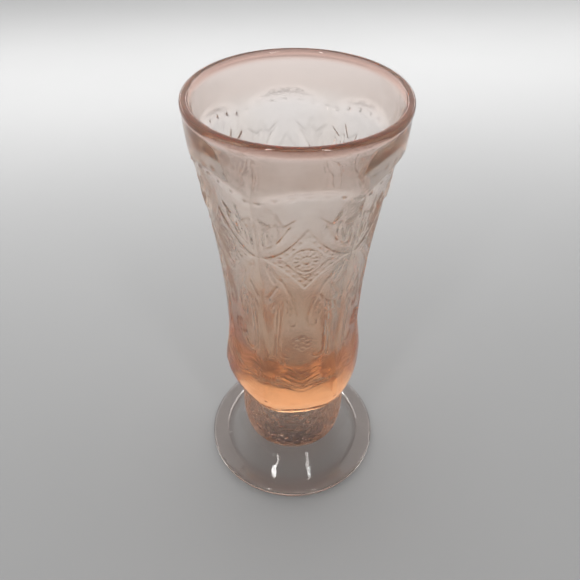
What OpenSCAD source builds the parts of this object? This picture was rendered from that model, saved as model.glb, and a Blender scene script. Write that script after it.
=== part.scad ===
// Footed pressed-glass vase: a flared six-panelled bowl on a short hollow collar and a domed foot.
// Origin at the centre of the resting plane, +Z up, one panel facing -Y. Millimetres.

/* [Overall] */
// Height from the resting plane to the top of the lip
total_h = 203; // [165:1:245]
// Diameter of the foot
foot_d = 90.4; // [74:0.2:110]

/* [Rim and band] */
// Outer diameter of the lip
rim_d = 84.8; // [70:0.2:102]
// Glass thickness at the lip
rim_wall = 3.4; // [2.4:0.1:4.2]
// Height of the rounded lip bead
lip_h = 3.6; // [2.8:0.1:6]
// How far the lip stands out past the band below it
lip_proud = 0.35; // [0.1:0.05:0.8]
// Height of the plain band, from the panel corners to the top
band_h = 22; // [16:0.5:28]
// How far the lip stands out past the panel corners below the band
band_flare = 1.9; // [0.5:0.1:4]
// Rise of each panel's arched top above its corners
arch_rise = 6; // [2:0.1:9]

/* [Panels] */
// Outward lean of the corners just below the band, millimetres out per millimetre up
shoulder_lean = 0.2; // [0.05:0.01:0.3]
// Height of the cove that carries each panel's middle out to the band
cove_h = 6; // [3:0.1:9]
// Across opposite corners at the waist
waist_d = 62.2; // [58:0.2:75]
// Height of the waist above the bowl's seam
waist_h = 43.5; // [36:0.5:53]
// How far the corners swell out from the waist to the belly
belly_swell = 2.7; // [1:0.1:4]
// How much the round belly turns off those corners
belly_turn = 0.7; // [0:0.1:1.5]
// Height of the belly above the bowl's seam
belly_h = 15.5; // [11:0.5:20]
// Distance behind the axis of each panel's centre of curvature; more is flatter
panel_reach = 26; // [16:1:60]

/* [Cavity] */
// Glass thickness at the middle of a panel
wall = 3.6; // [2.4:0.1:5]
// How much the cavity's radius narrows from the waist to its rounded floor
cavity_taper = 2.5; // [1:0.1:5]
// Diameter of the flat middle of the cavity floor
floor_flat_d = 14; // [8:0.5:24]
// Height of the rounded part of the cavity floor
floor_round = 12; // [8:0.5:16]
// Glass thickness under the cavity
floor_t = 13.5; // [10:0.5:17]

/* [Collar] */
// Height of the collar between its two seams
collar_h = 30; // [22:0.5:38]
// Diameter of the collar at its upper seam
collar_top_d = 50; // [43:0.2:60]
// How far the collar swells past its upper seam at mid-height
collar_swell = 1.2; // [0:0.1:3]
// Diameter of the collar at its lower seam
collar_low_d = 49.6; // [46:0.2:60]

/* [Foot] */
// Height of the foot, from the resting plane to the collar's lower seam
foot_h = 16.5; // [12:0.5:22]
// Thickness of the foot's edge
foot_edge_t = 4.2; // [3:0.1:6]
// Width of the raised band round the foot's edge
foot_band_w = 7.9; // [5:0.1:11]
// Depth of the groove inside that band
foot_groove = 0.8; // [0.3:0.1:1.4]

/* [Hollow under the foot] */
// Glass thickness of the collar at its upper seam
collar_top_wall = 6; // [4:0.1:8]
// Glass thickness of the collar at its lower seam
collar_low_wall = 4.3; // [3:0.1:7]
// Width of the ring that the foot rests on
rest_w = 6.5; // [4:0.5:9]

/* [Hidden] */
$fn = 96;

panels = 6;
half_panel = 180 / panels;
sectors = 12 * panels;
steps = 6;
over = 1;
tuck = 0.1;

bowl_seam_z = foot_h + collar_h;
belly_z = bowl_seam_z + belly_h;
waist_z = bowl_seam_z + waist_h;
shoulder_z = total_h - band_h;
cove_z = shoulder_z - cove_h;
band_z = shoulder_z + arch_rise + over;
lip_z = total_h - lip_h;
floor_z = bowl_seam_z + floor_t;

seam_r = collar_top_d / 2;
waist_r = waist_d / 2;
belly_corner = waist_r + belly_swell;
belly_r = belly_corner - belly_turn;
rim_r = rim_d / 2;
shoulder_r = rim_r - band_flare;
band_r = rim_r - lip_proud;
mouth_r = rim_r - rim_wall;
lip_round = rim_wall / 2;

under_lean = 0.8;
belly_fade = 0.25;
draft = 0.03;
mouth_lean = 0.08;

// Radius at height z of a cubic curve from p to q, both [radius, height], with the given leans.
function curve(p, q, lean_p, lean_q, z) =
    let (h = q[1] - p[1], t = (z - p[1]) / h)
    (1 + 2 * t) * pow(1 - t, 2) * p[0] + t * t * (3 - 2 * t) * q[0]
        + h * (t * pow(1 - t, 2) * lean_p - t * t * (1 - t) * lean_q);

// Points along that curve, after p and up to q.
function blend(p, q, lean_p, lean_q, n = steps) = [
    for (i = [1:n])
        let (z = p[1] + (q[1] - p[1]) * i / n)
        [curve(p, q, lean_p, lean_q, z), z]
];

// Arc of radius r about c, from angle a to angle b.
function arc(c, r, a, b, n = steps) = [
    for (i = [0:n])
        let (t = a + (b - a) * i / n)
        [c[0] + r * cos(t), c[1] + r * sin(t)]
];

// Distance from the axis to the middle of a panel whose corners lie at radius r.
function mid_of(r) =
    norm([r + panel_reach * cos(half_panel), panel_reach * sin(half_panel)]) - panel_reach;

// Radius at angle phi from the middle of that panel.
function panel_r(r, phi) =
    sqrt(pow(mid_of(r) + panel_reach, 2) - pow(panel_reach * sin(phi), 2)) - panel_reach * cos(phi);

// Radius of the panels' corners at height z.
function corner_at(z) =
    z < belly_z ? curve([seam_r + over, bowl_seam_z], [belly_corner, belly_z], under_lean, 0, z) :
    z < waist_z ? curve([belly_corner, belly_z], [waist_r, waist_z], 0, 0, z) :
    z < shoulder_z ? curve([waist_r, waist_z], [shoulder_r, shoulder_z], 0, shoulder_lean, z) :
    shoulder_r + shoulder_lean * (z - shoulder_z);

// Radius of the round body at height z: the turned belly, and the plain band above the shoulder.
function belly_at(z) =
    z < belly_z ? curve([seam_r, bowl_seam_z], [belly_r, belly_z], under_lean, 0, z) :
    belly_r + belly_fade * (z - belly_z);
function band_at(z) =
    let (t = (z - shoulder_z) / (lip_z - shoulder_z))
    shoulder_r + (band_r - shoulder_r) * t * (2 - t);

// Height of a panel's arched top, at angle phi from its middle.
function arch_at(phi) = shoulder_z + arch_rise * (1 - pow(phi / half_panel, 2));

// Radius of the panelled body at height z and angle phi, with the cove under the arch.
function body_at(z, phi) =
    let (
        top = arch_at(phi),
        cove = max(0, 1 - (top - z) / cove_h),
        step = band_at(top) - panel_r(corner_at(top), phi)
    )
    min(belly_at(z), panel_r(corner_at(z), phi) + step * cove * cove);

// Heights of the rings of points at the corners, from the seam to the shoulder.
ring_z = concat(
    [for (i = [0:steps - 1]) bowl_seam_z + belly_h * i / steps],
    [for (i = [0:steps - 1]) belly_z + (waist_z - belly_z) * i / steps],
    [for (i = [0:2 * steps - 1]) waist_z + (cove_z - waist_z) * i / (2 * steps)],
    [for (i = [0:4]) cove_z + cove_h * i / 4]
);

// The point of a ring at angle a. Rings above the waist rise in step with the arches.
function ring_point(z, a) =
    let (
        phi = (a + half_panel) % (2 * half_panel) - half_panel,
        share = max(0, (z - waist_z) / (shoulder_z - waist_z)),
        up = z + (arch_at(phi) - shoulder_z) * pow(share, 4),
        r = body_at(up, phi)
    )
    [r * sin(a), -r * cos(a), up];

// The six panels, from the seam to just above the arches.
module panelled_body() {
    rings = len(ring_z) + 1;
    angles = [for (i = [0:sectors - 1]) 360 * i / sectors];
    top_r = band_at(band_z) - tuck;
    points = concat(
        [for (z = ring_z) for (a = angles) ring_point(z, a)],
        [for (a = angles) [top_r * sin(a), -top_r * cos(a), band_z]]
    );
    sides = [
        for (k = [0:rings - 2])
            for (i = [0:sectors - 1])
                let (
                    j = (i + 1) % sectors,
                    low = k * sectors,
                    high = low + sectors
                )
                each [[low + i, high + j, low + j], [low + i, high + i, high + j]]
    ];
    bottom = [for (i = [0:sectors - 1]) i];
    top = [for (i = [sectors - 1:-1:0]) (rings - 1) * sectors + i];
    polyhedron(points, concat(sides, [bottom, top]));
}

// The turned band and its rounded lip.
module band_and_lip() {
    rotate_extrude()
        polygon(concat(
            [[0, band_z], [band_at(band_z), band_z]],
            [for (i = [1:steps]) let (z = band_z + (lip_z - band_z) * i / steps) [band_at(z), z]],
            [[rim_r, lip_z + lip_proud]],
            arc([rim_r - lip_round, total_h - lip_round], lip_round, 0, 90),
            [[0, total_h]]
        ));
}

// The space inside the bowl, open past the lip.
module cavity() {
    flat_r = floor_flat_d / 2;
    waist = [mid_of(waist_r) - wall, waist_z];
    low = [waist[0] - cavity_taper, floor_z + floor_round];
    shoulder = [mid_of(shoulder_r) - wall, shoulder_z];
    mouth = [mouth_r, total_h - lip_round];
    rotate_extrude()
        polygon(concat(
            [[0, floor_z]],
            [
                for (i = [0:steps])
                    let (t = 90 * i / steps)
                    [flat_r + (low[0] - flat_r) * sin(t), low[1] - floor_round * cos(t)]
            ],
            blend(low, waist, draft, draft),
            blend(waist, shoulder, draft, shoulder_lean, 2 * steps),
            blend(shoulder, mouth, shoulder_lean, mouth_lean),
            arc([mouth_r + lip_round, mouth[1]], lip_round, 180, 90),
            [[mouth_r + lip_round, total_h + over], [0, total_h + over]]
        ));
}

module bowl() {
    color("lightpink")
        difference() {
            union() {
                panelled_body();
                band_and_lip();
            }
            cavity();
        }
}

module stem_collar() {
    low = [collar_low_d / 2, foot_h];
    middle = [seam_r + collar_swell, foot_h + collar_h / 2];
    top = [seam_r, bowl_seam_z];
    color("rosybrown")
        rotate_extrude()
            polygon(concat(
                [[low[0] - collar_low_wall, foot_h], low],
                blend(low, middle, 0.2, 0),
                blend(middle, top, 0, -0.2),
                [[seam_r - collar_top_wall, bowl_seam_z]]
            ));
}

module foot() {
    edge = foot_edge_t / 2;
    band_in = foot_d / 2 - foot_band_w;
    groove = [band_in - foot_groove, foot_edge_t - foot_groove];
    inner = [foot_d / 2 - edge - rest_w, 0];
    collar = [collar_low_d / 2, foot_h];
    hollow = [collar[0] - collar_low_wall, foot_h];
    color("mistyrose")
        rotate_extrude()
            polygon(concat(
                [inner],
                arc([foot_d / 2 - edge, edge], edge, -90, 90, 2 * steps),
                [[band_in, foot_edge_t], groove],
                blend(groove, collar, -1.6, -0.4, 2 * steps),
                [hollow],
                blend(hollow, inner, -0.3, -1.4, 2 * steps)
            ));
}

bowl();
stem_collar();
foot();
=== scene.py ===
"""A footed pressed-glass vase: a six-panelled bowl with raised ornament, a pebbled collar and a foot.

Sizes are in millimetres and are turned into metres where the meshes are made. Angles round the vase
start at the front panel's middle, on -Y, and run towards +X.
"""

import math

import bpy
import numpy as np
from mathutils import Matrix, Vector


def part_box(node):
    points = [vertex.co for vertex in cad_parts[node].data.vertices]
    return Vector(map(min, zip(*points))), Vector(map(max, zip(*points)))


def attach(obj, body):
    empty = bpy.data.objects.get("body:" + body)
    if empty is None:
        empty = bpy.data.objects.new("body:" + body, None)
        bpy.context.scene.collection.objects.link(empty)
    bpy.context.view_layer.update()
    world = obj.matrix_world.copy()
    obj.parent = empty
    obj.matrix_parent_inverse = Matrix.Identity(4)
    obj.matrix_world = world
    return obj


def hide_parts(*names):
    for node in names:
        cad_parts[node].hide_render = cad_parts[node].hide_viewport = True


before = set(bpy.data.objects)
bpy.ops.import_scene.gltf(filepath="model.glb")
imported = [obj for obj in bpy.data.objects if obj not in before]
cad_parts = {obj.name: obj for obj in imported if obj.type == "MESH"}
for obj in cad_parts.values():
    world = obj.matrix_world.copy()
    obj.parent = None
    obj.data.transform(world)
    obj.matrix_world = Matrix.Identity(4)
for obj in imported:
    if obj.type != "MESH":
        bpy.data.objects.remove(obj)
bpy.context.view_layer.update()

MM = 0.001


def corners_mm(node):
    """The lowest and highest corners of a CAD node, in millimetres."""
    low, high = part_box(node)
    return np.array(low) / MM, np.array(high) / MM


bowl_low, bowl_high = corners_mm("bowl")
collar_low = corners_mm("stem_collar")[0]
foot_high = corners_mm("foot")[1]

# Heights and radii that the frame gives
TOTAL_H = bowl_high[2]
SEAM_Z = bowl_low[2]
FOOT_H = collar_low[2]
RIM_R = bowl_high[1]
FOOT_R = foot_high[1]

# Lip and band
RIM_WALL = 3.4
LIP_H = 3.6
LIP_PROUD = 0.35
LIP_ROUND = RIM_WALL / 2
LIP_MID_R = RIM_R - LIP_ROUND
LIP_MID_Z = TOTAL_H - LIP_ROUND
LIP_Z = TOTAL_H - LIP_H
BEAD_Z = LIP_Z - 0.3
BAND_H = 22.0
BAND_FLARE = 1.9
BAND_R = RIM_R - LIP_PROUD
SHOULDER_Z = TOTAL_H - BAND_H
SHOULDER_R = RIM_R - BAND_FLARE
SHOULDER_LEAN = 0.2
ARCH_RISE = 6.0
COVE_H = 6.0

# Panels
PANELS = 6
HALF_PANEL = math.pi / PANELS
PANEL_REACH = 26.0
WAIST_Z = SEAM_Z + 43.5
WAIST_R = 31.1
BELLY_Z = SEAM_Z + 15.5
BELLY_CORNER = 33.8
BELLY_R = 33.1
BELLY_FADE = 0.25
UNDER_LEAN = 0.8
SEAM_R = 25.0
CORNER_OVER = 1.0

# The rounded ridge along a panel's corner, which is higher below the waist and fades out near the seam
RIDGE_W = 0.9
RIDGE_H = 0.10
RIDGE_EXTRA_H = 0.16
RIDGE_EXTRA_FROM, RIDGE_EXTRA_FULL = WAIST_Z + 10, WAIST_Z - 15
RIDGE_FADE_OUT, RIDGE_FADE_IN = SEAM_Z + 5, SEAM_Z + 14

# The ring of dashes cut round the foot of the belly, and the raised thread below it
DASHES = 72
DASH_Z = SEAM_Z + 7.0
DASH_DEPTH = 0.9
DASH_HALF_H = 1.1
THREAD_Z = DASH_Z - 3.2
THREAD_H = 0.4
THREAD_W = 0.7

# Cavity
WALL = 3.6
CAVITY_TAPER = 2.5
FLOOR_FLAT_R = 7.0
FLOOR_ROUND = 12.0
FLOOR_T = 13.5
FLOOR_Z = SEAM_Z + FLOOR_T
DRAFT = 0.03
MOUTH_LEAN = 0.08

# Collar, with its plain rings as (height above the foot, width, how far it stands out)
COLLAR_SWELL = 1.2
COLLAR_LEAN = 0.2
COLLAR_LOW_R = 24.8
COLLAR_TOP_WALL = 6.0
COLLAR_LOW_WALL = 4.3
COLLAR_RINGS = [(0.9, 0.6, 0.45), (2.7, 0.5, 0.27)]
PEBBLE_SIZE = 2.4
PEBBLE_H = 1.1
PEBBLE_REACH = 0.72
PEBBLE_JITTER = 0.32
PEBBLE_SEED = 7
PEBBLES_FROM, PEBBLES_FULL = FOOT_H + 3.2, FOOT_H + 4.4
PEBBLES_STOP, PEBBLES_FADE = 1.2, 2.2

# Foot
FOOT_EDGE_T = 4.2
FOOT_BAND_W = 7.9
FOOT_GROOVE = 0.8
REST_W = 6.5
DOME_LEAN_LOW, DOME_LEAN_TOP = -1.6, -0.4
HOLLOW_LEAN_LOW, HOLLOW_LEAN_TOP = -1.4, -0.3

# The hair of air left between two pieces at a seam
SEAM_GAP = 0.03

# Lattice cells along the side of a block, and how far a block may stray from flat before it's split
BLOCK = 4
BOWL_TOLERANCE = 0.074
COLLAR_TOLERANCE = 0.025
SHARP_ANGLE = math.radians(48)


# ---------------------------------------------------------------- profiles


def portion(start, end, x):
    """How far x has come from start to end, held between 0 and 1."""
    return np.clip((x - start) / (end - start), 0, 1)


def soften(t):
    """t, from 0 to 1, eased at both ends."""
    return t * t * (3 - 2 * t)


def ridge(q):
    """The rounded section of a raised line, from the distance across it in widths."""
    return np.exp(-(q**2))


def curve(p, q, lean_p, lean_q, z):
    """Radius at height z of a cubic curve from p to q, both (radius, height), with the given leans."""
    h = q[1] - p[1]
    t = (z - p[1]) / h
    return (
        (1 + 2 * t) * (1 - t) ** 2 * p[0]
        + t * t * (3 - 2 * t) * q[0]
        + h * (t * (1 - t) ** 2 * lean_p - t * t * (1 - t) * lean_q)
    )


def mid_of(r):
    """Distance from the axis to the middle of a panel whose corners lie at radius r."""
    along = r + PANEL_REACH * math.cos(HALF_PANEL)
    return np.hypot(along, PANEL_REACH * math.sin(HALF_PANEL)) - PANEL_REACH


def panel_r(r, phi):
    """Radius at angle phi from the middle of that panel."""
    bow = mid_of(r) + PANEL_REACH
    return np.sqrt(bow**2 - (PANEL_REACH * np.sin(phi)) ** 2) - PANEL_REACH * np.cos(phi)


def corner_at(z):
    """Radius of the panels' corners at height z."""
    under = curve((SEAM_R + CORNER_OVER, SEAM_Z), (BELLY_CORNER, BELLY_Z), UNDER_LEAN, 0, z)
    belly = curve((BELLY_CORNER, BELLY_Z), (WAIST_R, WAIST_Z), 0, 0, z)
    body = curve((WAIST_R, WAIST_Z), (SHOULDER_R, SHOULDER_Z), 0, SHOULDER_LEAN, z)
    top = SHOULDER_R + SHOULDER_LEAN * (z - SHOULDER_Z)
    return np.select([z < BELLY_Z, z < WAIST_Z, z < SHOULDER_Z], [under, belly, body], top)


def belly_at(z):
    """Radius of the turned belly, which trims the corners off below."""
    under = curve((SEAM_R, SEAM_Z), (BELLY_R, BELLY_Z), UNDER_LEAN, 0, z)
    return np.where(z < BELLY_Z, under, BELLY_R + BELLY_FADE * (z - BELLY_Z))


def band_at(z):
    """Radius of the plain band."""
    t = (z - SHOULDER_Z) / (LIP_Z - SHOULDER_Z)
    return SHOULDER_R + (BAND_R - SHOULDER_R) * t * (2 - t)


def arch_at(phi):
    """Height of a panel's arched top at angle phi from its middle."""
    return SHOULDER_Z + ARCH_RISE * (1 - (phi / HALF_PANEL) ** 2)


def body_at(z, phi):
    """Radius of the panelled body, with the cove under the arch."""
    top = arch_at(phi)
    cove = np.clip(1 - (top - z) / COVE_H, 0, None)
    step = band_at(top) - panel_r(corner_at(top), phi)
    return np.minimum(belly_at(z), panel_r(corner_at(z), phi) + step * cove**2)


def edge_ridge(away, z):
    """The corner ridge's height, away millimetres from the corner."""
    height = RIDGE_H + RIDGE_EXTRA_H * portion(RIDGE_EXTRA_FROM, RIDGE_EXTRA_FULL, z)
    return height * portion(RIDGE_FADE_OUT, RIDGE_FADE_IN, z) * ridge(away / RIDGE_W)


# ---------------------------------------------------------------- ornament
#
# The ornament is the same on each panel and its two halves mirror each other. Places are (u, up): u is
# 0 at the panel's middle and 1 at its corner, and up is the height above the seam in millimetres.

LINE_W = 0.44
LINE_H = 0.44
FINE_W = 0.4
FINE_H = 0.36
PLATEAU_H = 0.34
EDGE_SOFT = 0.25

# The lozenge: its top, sides and foot, then how strongly its upper and lower edges bow in
LOZENGE_TOP, LOZENGE_SIDE, LOZENGE_FOOT = 121.5, 106.1, 89.3
OUTER_LOZENGE = (LOZENGE_TOP, LOZENGE_SIDE, LOZENGE_FOOT, 2.0, 1.45)
INNER_LOZENGE = (LOZENGE_TOP - 5.4, LOZENGE_SIDE - 0.4, LOZENGE_FOOT + 5.8, 1.5, 1.3)
OUTER_REACH, INNER_REACH = 0.985, 0.60
LOZENGE_SUNK = 0.8 * PLATEAU_H
LOZENGE_SUNK_SOFT = 0.3

# The dimples along its border: how far in from its upper and lower edges they lie, and how much less
# towards its side, where those within the gap of the side corner's height are left out
DIMPLE_R = 0.7
DIMPLE_DEPTH = 0.24
DIMPLES = 6
DIMPLE_STEP = 0.135
DIMPLE_IN_TOP, DIMPLE_IN_TOP_LESS = 2.3, 0.7
DIMPLE_IN_FOOT, DIMPLE_IN_FOOT_LESS = 2.5, 0.9
DIMPLE_SIDE_GAP = 1.3
DIMPLE_ENDS = (LOZENGE_TOP - 2.9, LOZENGE_FOOT + 3.0)

# The medallion in the lozenge, with its dashes, and the little ticks under it, each wider than the last
MEDALLION_UP = 105.1
MEDALLION_R = 5.8
MEDALLION_EYE_R = 2.1
MEDALLION_DASHES = 12
MEDALLION_DASH_W = (0.38, 0.55)
MEDALLION_DASH_H = 0.4
MEDALLION_DASH_ENDS = (3.3, 4.6)
TICKS = 3
TICK_UP = LOZENGE_FOOT + 5.5
TICK_STEP = 1.7
TICK_RISE = 1.3
TICK_REACH, TICK_REACH_MORE = 1.1, 0.5
TICK_W = 0.3
TICK_H = PLATEAU_H + 0.1

# The row of small pyramids under the arch, at these shares of the way to the corner. Their tips are cut off
PYRAMIDS = (0.0, 0.3, 0.6, 0.88)
PYRAMID_DROP = 3.9
PYRAMID_DROP_LESS = 1.4
PYRAMID_H = 0.62
PYRAMID_HALF_W, PYRAMID_HALF_H = 1.8, 1.2
PYRAMID_TIP, PYRAMID_CUT = 1.1, 0.85

# Half of a tulip that springs from the corner ridge: its zigzag top, its outer edge and its petals
TULIP_TOP = [(0.93, 125.8), (0.70, 122.5), (0.60, 128.7), (0.46, 122.9), (0.22, 126.7)]
TULIP_EDGE = [(0.22, 126.7), (0.28, 121.7), (0.40, 116.9), (0.58, 112.9), (0.76, 110.3), (0.90, 109.1)]
TULIP_INSET = (0.05, 1.0)
TULIP_INSET_H = 0.3
PETAL_H = 0.4
PETAL_CLEAR = 0.1
TULIP_PETALS = [
    [(0.86, 112.1), (0.88, 116.0), (0.83, 121.1), (0.77, 117.9), (0.79, 113.7)],
    [(0.75, 113.5), (0.71, 117.7), (0.61, 123.7), (0.58, 118.5), (0.64, 114.9)],
    [(0.60, 114.5), (0.47, 118.1), (0.36, 122.1)],
]
# Strands that hang below the lozenge, each a smooth curve that is widest between its ends
STRAND_TIP_W, STRAND_SWELL_W = 0.22, 0.24
STRAND_SWELL_FROM, STRAND_SWELL_TO = 0.5, math.pi - 0.3
STRANDS = [
    [(0.86, 102.5), (0.83, 99.5), (0.76, 95.3), (0.70, 92.1)],
    [(0.76, 100.1), (0.66, 96.3), (0.58, 93.7)],
    [(0.56, 94.1), (0.45, 90.1), (0.34, 85.1), (0.22, 79.5), (0.14, 73.1), (0.17, 67.9), (0.27, 65.9)],
    [(0.27, 65.9), (0.36, 67.1), (0.38, 69.9)],
    [(0.40, 84.5), (0.44, 82.1), (0.36, 79.5), (0.30, 75.5)],
    [(0.66, 90.1), (0.75, 86.7), (0.85, 83.5), (0.83, 81.1)],
    [(0.42, 78.5), (0.44, 74.9), (0.38, 72.9), (0.34, 74.5)],
    [(0.76, 79.5), (0.80, 76.9), (0.77, 75.1)],
]
# The lyre round the rosette: an inner line and an outer line side by side
LYRE_W = 0.42
LYRE_INNER = [(0.56, 81.1), (0.61, 71.5), (0.63, 60.5), (0.63, 51.5), (0.58, 47.9), (0.46, 46.1)]
LYRE_INNER += [(0.32, 46.7), (0.20, 48.7)]
LYRE_OUTER = [(0.64, 80.1), (0.70, 70.5), (0.72, 59.5), (0.73, 50.5), (0.70, 45.9)]
# Curls between the lyre and the chevrons
CURLS = [
    [(0.58, 44.5), (0.53, 42.1), (0.55, 39.7)],
    [(0.74, 41.5), (0.83, 37.9), (0.85, 33.5), (0.80, 29.1)],
    [(0.66, 38.5), (0.70, 34.9), (0.67, 31.1)],
]
ROSETTE_UP = 55.3
ROSETTE_EYE_R, ROSETTE_EYE_H = 1.2, 0.5
ROSETTE_PETALS = 6
ROSETTE_PETAL_R, ROSETTE_PETAL_H = 1.25, 0.48
ROSETTE_R = 3.0
# One chevron as (u, rise) from its middle, and the stack of them at the panel's foot
CHEVRON = [(0.0, -4.2), (0.13, -3.2), (0.34, -0.6), (0.5, 0.2), (0.72, -0.5)]
CHEVRON_UP = 39.5
CHEVRON_STEP = 2.6
CHEVRON_SPREAD = 0.12
CHEVRON_H = 0.3
CHEVRONS = 5
WHOLE_CHEVRONS = 3

# The ornament starts here and fades out just before the arch. The panel's ground is frosted, but not
# beside the corner ridge, and the frost is gone where a plain line of the ornament stands high
ORNAMENT_UP = 19.5
ORNAMENT_FADE = 0.996
FROST_FROM, FROST_FULL = 17.5, 22.5
FROST_CLEAR_OF_RIDGE = 0.5
FROST_GONE_FROM, FROST_GONE_AT = 0.05, 0.3
FROST_ON_STIPPLE = 0.6


def half_width(up):
    """Half the width of a panel's face at a height above the seam."""
    return corner_at(SEAM_Z + np.asarray(up, float)) * HALF_PANEL


def to_mm(places):
    """Places on a panel, (u, up), as millimetres across and up its face."""
    places = np.asarray(places, float)
    return np.stack([places[:, 0] * half_width(places[:, 1]), places[:, 1]], 1)


def smooth(places, steps=6):
    """A smooth curve through the places (Catmull-Rom)."""
    p = np.asarray(places, float)
    p = np.vstack([2 * p[0] - p[1], p, 2 * p[-1] - p[-2]])
    t = np.linspace(0, 1, steps, endpoint=False)[:, None]
    out = []
    for a, b, c, d in zip(p, p[1:], p[2:], p[3:]):
        bend = a - 2.5 * b + 2 * c - d / 2
        twist = 1.5 * (b - c) + (d - a) / 2
        out.append(b + t * (c - a) / 2 + t**2 * bend + t**3 * twist)
    return np.vstack(out + [p[-2:-1]])


def nearness(x, up, path, width):
    """Least distance from each point to a path, as a share of the path's width there."""
    path = np.asarray(path, float)
    width = np.broadcast_to(width, len(path)).astype(float)
    best = np.full(x.shape, np.inf)
    for k in range(len(path) - 1):
        ax, az = path[k]
        dx, dz = path[k + 1] - path[k]
        length = max(dx * dx + dz * dz, 1e-9)
        t = np.clip(((x - ax) * dx + (up - az) * dz) / length, 0, 1)
        far = np.hypot(x - ax - t * dx, up - az - t * dz)
        best = np.minimum(best, far / (width[k] + (width[k + 1] - width[k]) * t))
    return best


def inside(x, up, outline):
    """True inside a closed outline."""
    hit = np.zeros(x.shape, bool)
    for (ax, az), (bx, bz) in zip(outline, np.roll(outline, -1, 0)):
        if az == bz:
            continue
        hit ^= ((az > up) != (bz > up)) & (x < (bx - ax) * (up - az) / (bz - az) + ax)
    return hit


def lozenge(u, top, side, foot, bow_top, bow_foot, reach=1.0):
    """Heights of a lozenge's upper and lower edges, which bow in towards its side corners."""
    t = np.clip(1 - np.abs(u) / reach, 0, 1)
    return side + (top - side) * t**bow_top, side - (side - foot) * t**bow_foot


def lozenge_outline(reach, shape):
    """That lozenge's whole outline, which straddles the panel's middle."""
    u = np.linspace(0, reach, 25)
    upper, lower = lozenge(u, *shape, reach)
    right = to_mm(np.vstack([np.stack([u, upper], 1), np.stack([u, lower], 1)[::-1]]))
    return np.vstack([right, right[::-1] * (-1, 1)])


class Face:
    """Half a panel's face as a grid of points, with the height and stipple of its ornament so far.

    x is the millimetres from the panel's middle and up is the height above the seam.
    """

    def __init__(self, x, up):
        self.x = x
        self.up = up
        self.high = np.zeros(x.shape)
        self.stipple = np.zeros(x.shape)

    def raise_to(self, value):
        """Lift the face to a height wherever it's lower."""
        self.high = np.maximum(self.high, value)

    def near(self, path, width):
        """The rounded section of a line along a path."""
        return ridge(nearness(self.x, self.up, path, width))

    def line(self, path, width=LINE_W, height=LINE_H):
        """A raised line along a path."""
        self.raise_to(height * self.near(path, width))

    def ring(self, up, radius, width=LINE_W, height=LINE_H, x=0.0):
        """A raised ring round the place (x, up)."""
        self.raise_to(height * ridge((np.hypot(self.x - x, self.up - up) - radius) / width))

    def within(self, outline, soft=EDGE_SOFT):
        """1 inside the outline and 0 outside, with a soft step between."""
        edge = nearness(self.x, self.up, np.vstack([outline, outline[:1]]), soft)
        signed = np.where(inside(self.x, self.up, outline), edge, -edge)
        return soften(portion(-1, 1, signed))

    def dimple(self, x, up):
        """A small round hollow."""
        away = ((self.x - x) ** 2 + (self.up - up) ** 2) / DIMPLE_R**2
        self.high = self.high - DIMPLE_DEPTH * np.exp(-(away**1.5))


def add_lozenge(face):
    """A raised stippled border with dimples, round a sunk middle."""
    border = face.within(lozenge_outline(OUTER_REACH, OUTER_LOZENGE))
    middle = face.within(lozenge_outline(INNER_REACH, INNER_LOZENGE), LOZENGE_SUNK_SOFT)
    face.raise_to(PLATEAU_H * border)
    face.high = face.high - LOZENGE_SUNK * middle
    face.stipple = np.maximum(face.stipple, border * (1 - middle))
    for k in range(DIMPLES):
        u = DIMPLE_STEP * (k + 1)
        upper, lower = lozenge(u, *OUTER_LOZENGE)
        from_top = upper - DIMPLE_IN_TOP + DIMPLE_IN_TOP_LESS * u
        from_foot = lower + DIMPLE_IN_FOOT - DIMPLE_IN_FOOT_LESS * u
        for up in (from_top, from_foot):
            if abs(up - LOZENGE_SIDE) > DIMPLE_SIDE_GAP:
                face.dimple(u * half_width(up), up)
    for up in DIMPLE_ENDS:
        face.dimple(0.0, up)


def add_medallion(face):
    """Two rings with dashes between them, and a few little ticks below."""
    face.ring(MEDALLION_UP, MEDALLION_R)
    face.ring(MEDALLION_UP, MEDALLION_EYE_R, FINE_W)
    for k in range(MEDALLION_DASHES):
        a = 2 * math.pi * (k + 0.5) / MEDALLION_DASHES
        ends = [(r * math.sin(a), MEDALLION_UP + r * math.cos(a)) for r in MEDALLION_DASH_ENDS]
        face.line(ends, MEDALLION_DASH_W, MEDALLION_DASH_H)
    for k in range(TICKS):
        up = TICK_UP + TICK_STEP * k
        face.line([(0.0, up), (TICK_REACH + TICK_REACH_MORE * k, up + TICK_RISE)], TICK_W, TICK_H)


def add_pyramids(face):
    """A row of little flat-topped pyramids under the arch."""
    for u in PYRAMIDS:
        drop = PYRAMID_DROP - PYRAMID_DROP_LESS * u * u
        x, up = to_mm([(u, arch_at(u * HALF_PANEL) - SEAM_Z - drop)])[0]
        for side in (-1, 1):
            slope_x = np.abs(face.x - side * x) / PYRAMID_HALF_W
            slope_up = np.abs(face.up - up) / PYRAMID_HALF_H
            face.raise_to(PYRAMID_H * np.clip(PYRAMID_TIP - slope_x - slope_up, 0, PYRAMID_CUT))


def add_tulip(face):
    """Half a tulip on the corner ridge: raised and stippled, with petals in outline."""
    tulip = face.within(to_mm(np.vstack([TULIP_TOP, smooth(TULIP_EDGE)])))
    face.raise_to(PLATEAU_H * tulip)
    face.stipple = np.maximum(face.stipple, tulip)
    inset = np.array(TULIP_EDGE[1:-1]) + TULIP_INSET
    face.high = face.high + TULIP_INSET_H * face.near(to_mm(smooth(inset)), FINE_W)
    for petal in TULIP_PETALS:
        face.high = face.high + PETAL_H * face.near(to_mm(smooth(petal)), LINE_W)
    face.stipple = face.stipple * (1 - portion(PLATEAU_H, PLATEAU_H + PETAL_CLEAR, face.high))


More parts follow.
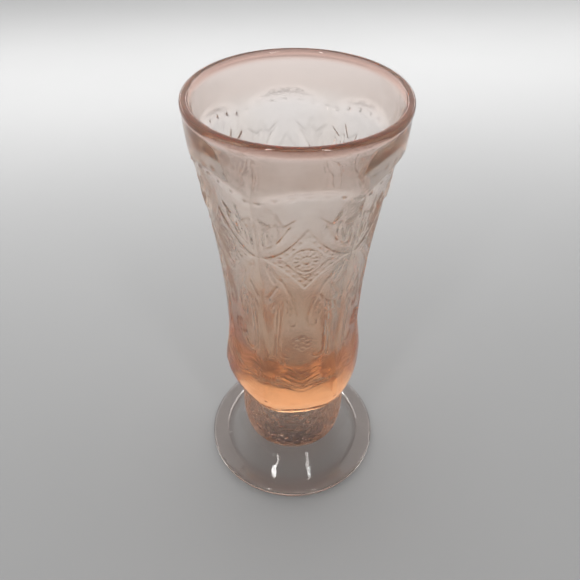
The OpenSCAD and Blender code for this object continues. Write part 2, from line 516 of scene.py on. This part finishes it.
def add_strands(face):
    """The hanging strands, the lyre and the curls. The strands taper towards both ends."""
    for places in STRANDS:
        path = smooth(places)
        swell = np.sin(np.linspace(STRAND_SWELL_FROM, STRAND_SWELL_TO, len(path)))
        face.line(to_mm(path), STRAND_TIP_W + STRAND_SWELL_W * swell, FINE_H)
    for places in (LYRE_INNER, LYRE_OUTER, *CURLS):
        face.line(to_mm(smooth(places)), LYRE_W, FINE_H)


def add_rosette(face):
    """A ring with six rings round it."""
    face.ring(ROSETTE_UP, ROSETTE_EYE_R, LYRE_W, ROSETTE_EYE_H)
    for k in range(ROSETTE_PETALS):
        a = 2 * math.pi * k / ROSETTE_PETALS
        up = ROSETTE_UP + ROSETTE_R * math.cos(a)
        face.ring(up, ROSETTE_PETAL_R, FINE_W, ROSETTE_PETAL_H, ROSETTE_R * math.sin(a))


def add_chevrons(face):
    """A stack of chevrons, each a little wider than the one above. The lower two are cut short."""
    for k in range(CHEVRONS):
        spread = 1 + CHEVRON_SPREAD * k
        shown = CHEVRON if k < WHOLE_CHEVRONS else CHEVRON[:-1]
        path = [(u * spread, CHEVRON_UP - CHEVRON_STEP * k + rise) for u, rise in shown]
        face.line(to_mm(smooth(path)), FINE_W, CHEVRON_H)


def relief(x, z):
    """The ornament on half a panel, x millimetres from its middle: its height, frost and stipple."""
    face = Face(x, z - SEAM_Z)
    add_lozenge(face)
    add_medallion(face)
    add_pyramids(face)
    add_tulip(face)
    add_strands(face)
    add_rosette(face)
    add_chevrons(face)
    from_corner = half_width(face.up) - x
    high = face.high + edge_ridge(from_corner, z)
    frost = portion(FROST_FROM, FROST_FULL, face.up)
    frost *= portion(RIDGE_W, RIDGE_W + FROST_CLEAR_OF_RIDGE, from_corner)
    frost *= 1 - portion(FROST_GONE_FROM, FROST_GONE_AT, high) * (1 - face.stipple)
    stipple = face.stipple * frost
    return high, frost - (1 - FROST_ON_STIPPLE) * stipple, stipple


# ---------------------------------------------------------------- meshes


class Rows:
    """Rows of points round the vase, each with its radius, height, frost and stipple."""

    def __init__(self, columns):
        self.columns = columns
        self.angles = 2 * math.pi * np.arange(columns) / columns
        self.phi = (self.angles + HALF_PANEL) % (2 * HALF_PANEL) - HALF_PANEL
        self.values = {"r": [], "z": [], "frost": [], "stipple": []}

    def add(self, r, z, frost=0.0, stipple=0.0):
        """Add a row. Each value is a number or one number for each column."""
        for rows, value in zip(self.values.values(), (r, z, frost, stipple)):
            rows.append(value * np.ones(self.columns))

    def last(self):
        """The last row's number."""
        return len(self.values["r"]) - 1

    def table(self, name):
        """All the rows of one value."""
        return np.array(self.values[name])


def stray(height, size):
    """How far each block of size-by-size cells strays from the flat patch through its corners."""
    rows, columns = height.shape[0] - 1, height.shape[1]
    h = np.hstack([height, height[:, :1]])
    a, b = h[:-1:size, :-1:size], h[:-1:size, size::size]
    c, d = h[size::size, :-1:size], h[size::size, size::size]
    worst = np.zeros(a.shape)
    for i in range(size + 1):
        for j in range(size + 1):
            u, v = i / size, j / size
            patch = (1 - u) * ((1 - v) * a + v * b) + u * ((1 - v) * c + v * d)
            here = h[i : i + rows - size + 1 : size, j : j + columns - size + 1 : size]
            worst = np.maximum(worst, np.abs(here - patch))
    return worst


def leaves_of(height, fine, block, tolerance):
    """Blocks (row, column, size) over the lattice: whole where it's plain, split where it's shaped."""
    rows, columns = height.shape[0] - 1, height.shape[1]
    rough = {}
    size = block
    while size > 1:
        rough[size] = stray(height, size) > tolerance
        size //= 2
    out = []
    todo = [(r, c, block) for r in range(0, rows, block) for c in range(0, columns, block)]
    while todo:
        r, c, s = todo.pop()
        if s == 1 or not fine[0] <= r < fine[1] or not rough[s][r // s, c // s]:
            out.append((r, c, s))
        else:
            half = s // 2
            todo += [(r + i, c + j, half) for i in (0, half) for j in (0, half)]
    return out


def faces_of(ids, blocks):
    """The faces of the blocks. A block beside finer ones fans out from its middle to their corners."""
    columns = ids.shape[1]
    used = set()
    for i, j, s in blocks:
        e = (j + s) % columns
        used.update((ids[i, j], ids[i, e], ids[i + s, j], ids[i + s, e]))
    faces = []
    for i, j, s in blocks:
        e = (j + s) % columns
        rim = [(i, j + k) for k in range(s)] + [(i + k, e) for k in range(s)]
        rim += [(i + s, (j + s - k) % columns) for k in range(s)] + [(i + s - k, j) for k in range(s)]
        loop = [ids[p] for p in rim if ids[p] in used]
        loop = [v for k, v in enumerate(loop) if v != loop[k - 1]]
        if len(loop) <= 4:
            faces.append(loop)
        else:
            middle = ids[i + s // 2, j + s // 2]
            faces += [[a, b, middle] for a, b in zip(loop, loop[1:] + loop[:1])]
    return faces


def lattice_mesh(name, rows, ends, fine=(0, 0), block=1, tolerance=0.0):
    """A closed mesh over rows of points.

    ends is "poles" where the first and last rows are each one point on the axis, and "loop" where the
    last row meets the first. Blocks between the rows of fine are split where r isn't smooth.
    """
    r = rows.table("r")
    points = np.stack([r * np.sin(rows.angles), -r * np.cos(rows.angles), rows.table("z")], 2) * MM
    ids = np.arange(r.size).reshape(r.shape)
    if ends == "poles":
        ids[0] = ids[0, 0]
        ids[-1] = ids[-1, 0]
    else:
        ids[-1] = ids[0]
    faces = faces_of(ids, leaves_of(r, fine, block, tolerance))
    kept, where = np.unique(np.concatenate(faces), return_inverse=True)
    loops, start = [], 0
    for face in faces:
        loops.append(where[start : start + len(face)].tolist())
        start += len(face)
    mesh = bpy.data.meshes.new(name)
    mesh.from_pydata(points.reshape(-1, 3)[kept].tolist(), [], loops)
    for layer in ("frost", "stipple"):
        data = mesh.attributes.new(layer, "FLOAT", "POINT")
        data.data.foreach_set("value", rows.table(layer).reshape(-1)[kept].astype(np.float32))
    mesh.polygons.foreach_set("use_smooth", [True] * len(mesh.polygons))
    mesh.set_sharp_from_angle(angle=SHARP_ANGLE)
    piece = bpy.data.objects.new(name, mesh)
    bpy.context.scene.collection.objects.link(piece)
    return piece


def stretch(start, end, steps):
    """Even steps after start, up to and with end."""
    return start + (end - start) * np.arange(1, steps + 1) / steps


def add_belly(rows):
    """The plain belly, with its ring of dashes and the thread below it."""
    dash = 0.5 - 0.5 * np.cos(rows.angles * DASHES)
    for up in stretch(0, ORNAMENT_UP, 12 * BLOCK):
        z = np.full(rows.columns, SEAM_Z + up)
        nick = DASH_DEPTH * dash**2 * np.exp(-(((z - DASH_Z) / DASH_HALF_H) ** 4))
        thread = THREAD_H * ridge((z - THREAD_Z) / THREAD_W)
        away = (HALF_PANEL - np.abs(rows.phi)) * corner_at(z)
        rows.add(body_at(z, rows.phi) - nick + thread + edge_ridge(away, z), z)


def add_panels(rows):
    """The panels up to their arches. Half a panel's relief is worked out once and repeated."""
    half = rows.columns // PANELS // 2
    fold = np.abs((np.arange(rows.columns) + half) % (2 * half) - half)
    share = np.linspace(0, 1, half + 1)
    level = stretch(0, 1, 72 * BLOCK)[:, None]
    foot = SEAM_Z + ORNAMENT_UP
    z = foot + level * (arch_at(share * HALF_PANEL) - foot)
    high, frost, stipple = relief(share * half_width(z - SEAM_Z), z)
    high *= portion(1, ORNAMENT_FADE, level)
    for k in range(len(level)):
        here = z[k][fold]
        rows.add(body_at(here, rows.phi) + high[k][fold], here, frost[k][fold], stipple[k][fold])


def add_rim(rows):
    """The plain band above the arches, the bead and the rounded lip."""
    arch = arch_at(rows.phi)
    for t in stretch(0, 1, 8 * BLOCK):
        z = arch + t * (BEAD_Z - arch)
        rows.add(band_at(z), z)
    start = band_at(BEAD_Z)
    for t in stretch(0, 1, 4 * BLOCK):
        rows.add(start + (RIM_R - start) * soften(min(1, 2 * t)), BEAD_Z + t * (LIP_MID_Z - BEAD_Z))
    for t in stretch(0, math.pi, 12 * BLOCK):
        rows.add(LIP_MID_R + LIP_ROUND * math.cos(t), LIP_MID_Z + LIP_ROUND * math.sin(t))


def add_cavity(rows):
    """The inside, from the mouth down to the middle of its floor."""
    mouth = (RIM_R - RIM_WALL, LIP_MID_Z)
    shoulder = (mid_of(SHOULDER_R) - WALL, SHOULDER_Z)
    waist = (mid_of(WAIST_R) - WALL, WAIST_Z)
    low = (waist[0] - CAVITY_TAPER, FLOOR_Z + FLOOR_ROUND)
    for z in stretch(mouth[1], shoulder[1], 8 * BLOCK):
        rows.add(curve(shoulder, mouth, SHOULDER_LEAN, MOUTH_LEAN, z), z)
    for z in stretch(shoulder[1], waist[1], 32 * BLOCK):
        rows.add(curve(waist, shoulder, DRAFT, SHOULDER_LEAN, z), z)
    for z in stretch(waist[1], low[1], 9 * BLOCK):
        rows.add(curve(low, waist, DRAFT, DRAFT, z), z)
    for t in stretch(math.pi / 2, 0, 12 * BLOCK):
        r = FLOOR_FLAT_R + (low[0] - FLOOR_FLAT_R) * math.sin(t)
        rows.add(r, low[1] - FLOOR_ROUND * math.cos(t))
    for r in stretch(FLOOR_FLAT_R, 0, 2 * BLOCK):
        rows.add(r, FLOOR_Z)


def make_bowl():
    """The bowl: underside, belly, ornamented panels, band, lip and the cavity back to its floor."""
    rows = Rows(80 * PANELS)
    rows.add(0.0, SEAM_Z)
    for r in stretch(0, SEAM_R, 3 * BLOCK):
        rows.add(r, SEAM_Z)
    shaped_from = rows.last()
    add_belly(rows)
    add_panels(rows)
    shaped = (shaped_from, rows.last())
    add_rim(rows)
    add_cavity(rows)
    return lattice_mesh("bowl_glass", rows, "poles", shaped, BLOCK, BOWL_TOLERANCE)


def pebbles_over(across, z):
    """Rounded pebbles of about one size: high at scattered points, with creases where two meet.

    across wraps round after its last column, and both are in millimetres.
    """
    rng = np.random.default_rng(PEBBLE_SEED)
    girth = across.max() + across[0, 1] - across[0, 0]
    n_across = round(girth / PEBBLE_SIZE)
    n_up = round((z.max() - z.min()) / PEBBLE_SIZE) + 2
    near = np.full(across.shape, np.inf)
    for i in range(n_across):
        for k in range(n_up):
            cx = (i + 0.5 * (k % 2) + PEBBLE_JITTER * rng.uniform(-1, 1)) * girth / n_across
            cz = z.min() + (k - 0.5 + PEBBLE_JITTER * rng.uniform(-1, 1)) * PEBBLE_SIZE
            dx = (across - cx + girth / 2) % girth - girth / 2
            near = np.minimum(near, dx * dx + (z - cz) ** 2)
    return np.clip(1 - near / (PEBBLE_REACH * PEBBLE_SIZE) ** 2, 0, 1)


def make_collar():
    """The collar: a pebbled outside with two plain rings, and a smooth hollow."""
    rows = Rows(384)
    top_z = SEAM_Z - SEAM_GAP
    low = (COLLAR_LOW_R, FOOT_H)
    middle = (SEAM_R + COLLAR_SWELL, (FOOT_H + SEAM_Z) / 2)
    top = (SEAM_R, SEAM_Z)
    levels = np.concatenate([[FOOT_H], stretch(FOOT_H, top_z, 19 * BLOCK)])
    z = levels[:, None] * np.ones(rows.columns)
    lower = curve(low, middle, COLLAR_LEAN, 0, z)
    upper = curve(middle, top, 0, -COLLAR_LEAN, z)
    r = np.where(z < middle[1], lower, upper)
    cover = portion(PEBBLES_FROM, PEBBLES_FULL, z)
    cover *= portion(top_z - PEBBLES_STOP, top_z - PEBBLES_FADE, z)
    across = rows.angles * middle[0] * np.ones(z.shape)
    r += cover * PEBBLE_H * (pebbles_over(across, z) - 0.5)
    for up, width, height in COLLAR_RINGS:
        r += height * ridge((z - FOOT_H - up) / width)
    for r_row, z_row in zip(r, z):
        rows.add(r_row, z_row)
    shaped = (0, rows.last())
    in_top = SEAM_R - COLLAR_TOP_WALL
    in_low = COLLAR_LOW_R - COLLAR_LOW_WALL
    for radius in stretch(SEAM_R, in_top, 3 * BLOCK):
        rows.add(radius, top_z)
    for t in stretch(0, 1, 10 * BLOCK):
        rows.add(in_top + (in_low - in_top) * t, top_z + (FOOT_H - top_z) * t)
    for radius in stretch(in_low, COLLAR_LOW_R, 2 * BLOCK):
        rows.add(radius, FOOT_H)
    return lattice_mesh("collar_glass", rows, "loop", shaped, BLOCK, COLLAR_TOLERANCE)


def make_foot():
    """The foot: a domed top with a groove inside its edge band, over a hollow."""
    rows = Rows(192)
    edge = FOOT_EDGE_T / 2
    edge_mid = FOOT_R - edge
    band_in = FOOT_R - FOOT_BAND_W
    top_z = FOOT_H - SEAM_GAP
    groove = (band_in - FOOT_GROOVE, FOOT_EDGE_T - FOOT_GROOVE)
    collar = (COLLAR_LOW_R, top_z)
    hollow = (COLLAR_LOW_R - COLLAR_LOW_WALL, top_z)
    inner = (edge_mid - REST_W, 0.0)
    rows.add(*inner)
    for r in stretch(inner[0], edge_mid, 4):
        rows.add(r, 0.0)
    for t in stretch(-math.pi / 2, math.pi / 2, 16):
        rows.add(edge_mid + edge * math.cos(t), edge + edge * math.sin(t))
    for r in stretch(edge_mid, band_in, 8):
        rows.add(r, FOOT_EDGE_T)
    for t in stretch(0, 1, 4):
        rows.add(band_in - FOOT_GROOVE * t, FOOT_EDGE_T - FOOT_GROOVE * soften(t))
    for z in stretch(groove[1], top_z, 22):
        rows.add(curve(groove, collar, DOME_LEAN_LOW, DOME_LEAN_TOP, z), z)
    for r in stretch(collar[0], hollow[0], 3):
        rows.add(r, top_z)
    for z in stretch(top_z, 0.0, 22):
        rows.add(curve(inner, hollow, HOLLOW_LEAN_LOW, HOLLOW_LEAN_TOP, z), z)
    return lattice_mesh("foot_glass", rows, "loop")


# ---------------------------------------------------------------- materials
#
# Noise scales are in features per metre, and bump depths are in metres.

GLASS_IOR = 1.51
SMUDGE_SCALE = 60
SMUDGE_ROUGHNESS = 0.02
FROST_ROUGHNESS = 0.15
GRAIN_SCALE = 1500
GRAIN_DEPTH = 0.00012
GRAIN_ON_STIPPLE = 0.45
GRAIN_EVERYWHERE = 0.06
RIPPLE_SCALE = 110
RIPPLE_DEPTH = 0.0006
BODY_COLOUR = (0.98, 0.88, 0.775)
FLOOR_GREYS = (0.385, 0.415)
FLOOR_ROUGHNESS = 0.6
FLOOR_MOTTLE_SCALE = 6

# What each piece's glass takes from the light: a surface tint, with painted light and shade in it, as
# (height, colour) stops, how dense its body is, how much of it is milky, and how deep its ripple and its
# grain are
BOWL_LOOK = {
    # The glass's own pink, with painted shade where the bowl meets the collar, a painted orange glow in the
    # belly and painted brown shade in the lip
    "tint_and_painted_light": [
        (SEAM_Z, (0.70, 0.53, 0.41)),
        (SEAM_Z + 4, (0.93, 0.86, 0.80)),
        (SEAM_Z + 16, (1.0, 0.87, 0.75)),
        (SEAM_Z + 30, (1.0, 0.79, 0.60)),
        (SEAM_Z + 62, (1.0, 0.93, 0.88)),
        (SHOULDER_Z, (0.99, 0.97, 0.98)),
        (SHOULDER_Z + 8, (0.95, 0.87, 0.85)),
        (LIP_Z - 1, (0.95, 0.87, 0.85)),
        (LIP_Z + 1, (0.78, 0.55, 0.49)),
    ],
    "density": 85,
    "haze": 0.04,
    "ripple": 0.4,
    "grain": 1.0,
}
COLLAR_LOOK = {
    "tint_and_painted_light": [
        # Painted shade, darkest down by the foot, and painted light at the top under the bowl
        (FOOT_H, (0.32, 0.25, 0.23)),
        (FOOT_H + 7, (0.48, 0.38, 0.36)),
        (SEAM_Z - 9, (0.92, 0.77, 0.70)),
        (SEAM_Z - 3, (1.0, 0.88, 0.81)),
        (SEAM_Z, (1.0, 0.88, 0.81)),
    ],
    "density": 65,
    "haze": 0.02,
    "ripple": 0.35,
    "grain": 0.5,
}
FOOT_LOOK = {
    "tint_and_painted_light": [
        # Mostly the glass's own faint pink, with painted shade at the rest and edge and a little darker
        # where it meets the collar
        (0.0, (0.92, 0.82, 0.79)),
        (FOOT_EDGE_T, (0.98, 0.965, 0.96)),
        (FOOT_H, (0.95, 0.92, 0.91)),
    ],
    "density": 30,
    "haze": 0.0,
    "ripple": 0.4,
    "grain": 0.3,
}


def node(tree, kind, **values):
    """A shader node with its settings and plain input values."""
    made = tree.nodes.new(kind)
    for key, value in values.items():
        if key in made.inputs:
            made.inputs[key].default_value = value
        else:
            setattr(made, key, value)
    return made


def noise(tree, place, scale, detail):
    """Noise at a place."""
    made = node(tree, "ShaderNodeTexNoise", Scale=scale, Detail=detail)
    tree.links.new(place, made.inputs["Vector"])
    return made.outputs["Fac"]


def remap(tree, value, start=0.0, end=1.0, low=0.0, high=1.0, kind="LINEAR"):
    """value, from start to end, spread between low and high."""
    made = node(tree, "ShaderNodeMapRange", interpolation_type=kind)
    made.inputs["From Min"].default_value = start
    made.inputs["From Max"].default_value = end
    made.inputs["To Min"].default_value = low
    made.inputs["To Max"].default_value = high
    tree.links.new(value, made.inputs["Value"])
    return made.outputs["Result"]


def maths(tree, operation, a, b):
    """One sum of two sockets or numbers."""
    made = node(tree, "ShaderNodeMath", operation=operation)
    for socket, value in zip(made.inputs, (a, b)):
        if isinstance(value, (int, float)):
            socket.default_value = value
        else:
            tree.links.new(value, socket)
    return made.outputs[0]


def parts_of(tree, place):
    """The X, Y and Z of a place, by name."""
    split = node(tree, "ShaderNodeSeparateXYZ")
    tree.links.new(place, split.inputs["Vector"])
    return split.outputs


def colours(tree, value, stops):
    """A colour that changes with a value: (position, colour) stops from low to high."""
    ramp = node(tree, "ShaderNodeValToRGB")
    elements = ramp.color_ramp.elements
    for _ in stops[2:]:
        elements.new(0.5)
    for element, (position, colour) in zip(elements, stops):
        element.position = position
        element.color = (*colour, 1)
    tree.links.new(value, ramp.inputs["Fac"])
    return ramp.outputs["Color"]


def tint_and_painted_light_by_height(tree, place, tint_and_painted_light):
    """A tint with painted light and shade that changes with height: (millimetres, colour) stops from low to
    high.
    """
    low, high = tint_and_painted_light[0][0], tint_and_painted_light[-1][0]
    share = remap(tree, parts_of(tree, place)["Z"], low * MM, high * MM)
    return colours(tree, share, [((z - low) / (high - low), colour) for z, colour in tint_and_painted_light])


def glass_bumps(tree, place, frost, stipple, ripple, grain):
    """A faint ripple from the mould, with fine grain on the frosted and stippled ground."""
    frosted = maths(tree, "ADD", frost, GRAIN_EVERYWHERE)
    rise = maths(tree, "ADD", maths(tree, "MULTIPLY", stipple, GRAIN_ON_STIPPLE), frosted)
    fine = noise(tree, place, GRAIN_SCALE, 2)
    far = node(tree, "ShaderNodeBump", Strength=ripple, Distance=RIPPLE_DEPTH)
    tree.links.new(noise(tree, place, RIPPLE_SCALE, 1), far.inputs["Height"])
    near = node(tree, "ShaderNodeBump", Strength=1.0, Distance=GRAIN_DEPTH)
    grains = maths(tree, "MULTIPLY", fine, maths(tree, "MULTIPLY", rise, grain))
    tree.links.new(grains, near.inputs["Height"])
    tree.links.new(far.outputs["Normal"], near.inputs["Normal"])
    return near.outputs["Normal"]


def pressed_glass(name, tint_and_painted_light, density, haze, ripple, grain):
    """Pink pressed glass: a tinted body, painted light and shade in the surface colour, a faint ripple from
    the mould and fine grain on the panels.
    """
    material = bpy.data.materials.new(name)
    material.use_nodes = True
    tree = material.node_tree
    tree.nodes.clear()
    out = node(tree, "ShaderNodeOutputMaterial")
    glass = node(tree, "ShaderNodeBsdfPrincipled", IOR=GLASS_IOR)
    glass.inputs["Transmission Weight"].default_value = 1 - haze
    place = node(tree, "ShaderNodeTexCoord").outputs["Object"]
    frost = node(tree, "ShaderNodeAttribute", attribute_name="frost").outputs["Fac"]
    stipple = node(tree, "ShaderNodeAttribute", attribute_name="stipple").outputs["Fac"]
    smudge = remap(tree, noise(tree, place, SMUDGE_SCALE, 3), high=SMUDGE_ROUGHNESS)
    rough = maths(tree, "ADD", smudge, maths(tree, "MULTIPLY", frost, FROST_ROUGHNESS))
    body = node(tree, "ShaderNodeVolumeAbsorption", Density=density)
    body.inputs["Color"].default_value = (*BODY_COLOUR, 1)
    # The base colour is the tint by height, with its painted light and shade
    tree.links.new(tint_and_painted_light_by_height(tree, place, tint_and_painted_light), glass.inputs["Base Color"])
    tree.links.new(rough, glass.inputs["Roughness"])
    tree.links.new(glass_bumps(tree, place, frost, stipple, ripple, grain), glass.inputs["Normal"])
    tree.links.new(glass.outputs["BSDF"], out.inputs["Surface"])
    tree.links.new(body.outputs["Volume"], out.inputs["Volume"])
    return material


def floor_paint():
    """The plain pale floor, with a faint mottle."""
    material = bpy.data.materials.new("floor_paint")
    material.use_nodes = True
    tree = material.node_tree
    paint = tree.nodes["Principled BSDF"]
    paint.inputs["Roughness"].default_value = FLOOR_ROUGHNESS
    place = node(tree, "ShaderNodeTexCoord").outputs["Object"]
    mix = node(tree, "ShaderNodeMix", data_type="RGBA")
    for side, grey in zip("AB", FLOOR_GREYS):
        mix.inputs[side].default_value = (grey, grey, grey, 1)
    tree.links.new(noise(tree, place, FLOOR_MOTTLE_SCALE, 3), mix.inputs["Factor"])
    tree.links.new(mix.outputs["Result"], paint.inputs["Base Color"])
    return material


# ---------------------------------------------------------------- studio
#
# Places in the studio are shares of the vase's height, in a frame that is turned with the camera.

# The camera, with its angles and focal length
VIEW_TURN = math.radians(-6.8)
VIEW_PITCH = math.radians(42.19)
VIEW_ROLL = math.radians(0.48)
VIEW_PLACE = (-0.00995, -1.0295, 1.4586)
LENS = 37.68
CLIP_START = 0.01

# The panel lights: place, width and height in metres, watts, and the place each one faces
LIGHTS = {
    "back": ((0.0, 2.6, 1.35), (1.5, 0.30), 4.2, (0.0, 2.6, 0.0)),
    "key": ((-1.5, -2.6, 3.6), (0.07, 0.42), 1.0, (0.0, 0.0, 0.5)),
    "fill": ((1.5, -2.6, 3.6), (0.07, 0.42), 0.8, (0.0, 0.0, 0.5)),
}

# The room's brightness at heights above the horizon, as (sine of the angle, grey), and its faint mottle
SKY_BACK = [(0.0, 0.76), (0.3, 0.90), (0.7, 1.20), (1.0, 0.6)]
SKY_FRONT = [(0.0, 0.42), (0.35, 0.30), (0.75, 0.24), (1.0, 0.40)]
FRONT_ENDS, BACK_STARTS = -0.5, 0.4
SKY_MOTTLE_SCALE = 3.2
SKY_MOTTLE_FROM, SKY_MOTTLE_TO = 0.38, 0.62
SKY_MOTTLE_DARK, SKY_MOTTLE_LIGHT = 0.97, 1.03

# The floor's half side and how far it lies below the foot, in metres
FLOOR_SIDE = 6.0
FLOOR_DROP = 0.0002


def turned(place):
    """A place in the studio, in metres round the vase."""
    return Matrix.Rotation(VIEW_TURN, 4, "Z") @ (Vector(place) * TOTAL_H * MM)


def add_camera():
    """The camera at the view's own angle."""
    data = bpy.data.cameras.new("camera")
    data.lens = LENS
    data.clip_start = CLIP_START
    camera = bpy.data.objects.new("camera", data)
    turn = Matrix.Rotation(VIEW_TURN, 4, "Z")
    pitch = Matrix.Rotation(math.pi / 2 - VIEW_PITCH, 4, "X")
    roll = Matrix.Rotation(VIEW_ROLL, 4, "Z")
    camera.matrix_world = Matrix.Translation(turned(VIEW_PLACE)) @ turn @ pitch @ roll
    bpy.context.scene.collection.objects.link(camera)
    bpy.context.scene.camera = camera


def add_light(name, place, size, power, aim):
    """A soft panel light."""
    data = bpy.data.lights.new(name, "AREA")
    data.shape = "RECTANGLE"
    data.size, data.size_y = size
    data.energy = power
    light = bpy.data.objects.new(name, data)
    light.location = turned(place)
    light.rotation_euler = (turned(aim) - light.location).to_track_quat("-Z", "Y").to_euler()
    light.visible_camera = False
    bpy.context.scene.collection.objects.link(light)


def sky(tree, up, stops):
    """The greys of one side of the room."""
    return colours(tree, up, [(position, (grey, grey, grey)) for position, grey in stops])


def add_world():
    """A soft room: bright behind the vase, dimmer on the camera's side."""
    world = bpy.data.worlds.new("room")
    world.use_nodes = True
    tree = world.node_tree
    back = tree.nodes["Background"]
    place = node(tree, "ShaderNodeTexCoord").outputs["Generated"]
    parts = parts_of(tree, place)
    mix = node(tree, "ShaderNodeMix", data_type="RGBA")
    behind = remap(tree, parts["Y"], FRONT_ENDS, BACK_STARTS, kind="SMOOTHSTEP")
    tree.links.new(behind, mix.inputs["Factor"])
    tree.links.new(sky(tree, parts["Z"], SKY_FRONT), mix.inputs["A"])
    tree.links.new(sky(tree, parts["Z"], SKY_BACK), mix.inputs["B"])
    tree.links.new(mix.outputs["Result"], back.inputs["Color"])
    mottle = noise(tree, place, SKY_MOTTLE_SCALE, 1)
    strength = remap(
        tree, mottle, SKY_MOTTLE_FROM, SKY_MOTTLE_TO, SKY_MOTTLE_DARK, SKY_MOTTLE_LIGHT, "SMOOTHSTEP"
    )
    tree.links.new(strength, back.inputs["Strength"])
    bpy.context.scene.world = world


def add_floor():
    """A wide plain floor."""
    corners = [(-1, -1), (1, -1), (1, 1), (-1, 1)]
    mesh = bpy.data.meshes.new("floor")
    points = [(FLOOR_SIDE * x, FLOOR_SIDE * y, -FLOOR_DROP) for x, y in corners]
    mesh.from_pydata(points, [], [(0, 1, 2, 3)])
    mesh.materials.append(floor_paint())
    floor = bpy.data.objects.new("floor", mesh)
    bpy.context.scene.collection.objects.link(floor)


def set_light_paths():
    """Enough bounces for light to pass through both walls of the glass, and plain colours."""
    scene = bpy.context.scene
    scene.cycles.max_bounces = 40
    scene.cycles.glossy_bounces = 24
    scene.cycles.transmission_bounces = 32
    scene.view_settings.view_transform = "Standard"


set_light_paths()
add_camera()
add_world()
for light_name, light_settings in LIGHTS.items():
    add_light(light_name, *light_settings)
add_floor()

for make, node_name, look in (
    (make_bowl, "bowl", BOWL_LOOK),
    (make_collar, "stem_collar", COLLAR_LOOK),
    (make_foot, "foot", FOOT_LOOK),
):
    piece = make()
    piece.data.materials.append(pressed_glass(piece.name + "_look", **look))
    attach(piece, "root")
    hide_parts(node_name)
